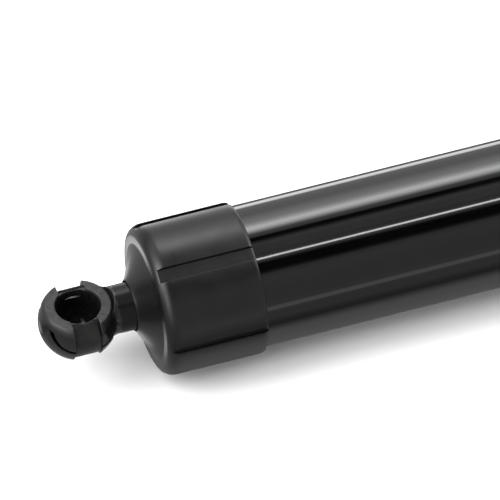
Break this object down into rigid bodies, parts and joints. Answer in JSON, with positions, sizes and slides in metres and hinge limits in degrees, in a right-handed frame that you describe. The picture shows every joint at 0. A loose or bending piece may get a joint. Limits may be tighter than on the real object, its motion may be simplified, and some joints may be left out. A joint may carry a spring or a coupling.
{
  "type": "telescopic tailgate gas strut",
  "caption": "Telescopic gas strut with a gas spring and a helper coil spring inside two sliding tubes, and a clipped ball socket at each end.",
  "frame": {"origin": "centre of the ball seat at the cover tube's end, on the strut's axis", "axes": "+X along the strut towards the housing tube's end, +Z out of the ball seats' mouths"},
  "size_m": [0.5796, 0.0386, 0.0386],
  "materials": {
    "socket_plastic": "glass-filled black plastic, rough grey on the moulded rims",
    "clip_steel": "dark phosphated spring steel",
    "cap_plastic": "dark grey plastic with a fine grain",
    "gloss_tube": "deep gloss black paint",
    "turned_steel": "turned steel",
    "zinc_steel": "bright zinc plate",
    "spring_steel": "dark oil-tempered steel",
    "black_nylon": "black nylon",
    "natural_nylon": "natural nylon",
    "rod_chrome": "hard chrome, ground and polished",
    "seal_rubber": "black nitrile rubber",
    "piston_alloy": "sintered light alloy",
    "coated_tube": "satin black paint",
    "guide_brass": "turned brass"
  },
  "bodies": {
    "cover_end": {"upper_ball_socket": "socket_plastic", "upper_socket_clip": "clip_steel", "upper_end_cap": "cap_plastic", "upper_end_plug": "turned_steel", "cover_tube": "gloss_tube", "rod_lock_nut": "zinc_steel", "upper_spring_seat": "black_nylon", "helper_spring": "spring_steel", "piston_rod": "rod_chrome", "rebound_bumper": "seal_rubber", "piston": "piston_alloy", "piston_ring": "seal_rubber", "valve_disc": "spring_steel", "support_washer": "zinc_steel", "piston_nut": "zinc_steel", "cover_guide_bush": "black_nylon", "cover_wiper_ring": "seal_rubber"},
    "spring_seat": {"lower_spring_seat": "natural_nylon"},
    "housing_end": {"housing_tube": "gloss_tube", "housing_guide_collar": "natural_nylon", "lower_end_plug": "turned_steel", "lower_end_cap": "cap_plastic", "lower_ball_socket": "socket_plastic", "lower_socket_clip": "clip_steel", "pressure_tube": "coated_tube", "pressure_tube_base": "turned_steel", "rod_guide": "guide_brass", "rod_seal": "seal_rubber", "seal_backing_ring": "zinc_steel", "guide_snap_ring": "spring_steel"}
  },
  "joints": [
    {"name": "strut_slide", "type": "slide", "parent": "cover_end", "child": "spring_seat", "axis": [1, 0, 0], "range_m": [-0.19, 0], "stiffness_N_per_m": 2600, "springref_m": 0.23, "deforming": ["helper_spring"]},
    {"name": "end_spin", "type": "hinge", "parent": "spring_seat", "child": "housing_end", "pos_m": [0.5261, 0, 0], "axis": [1, 0, 0], "continuous": true}
  ]
}
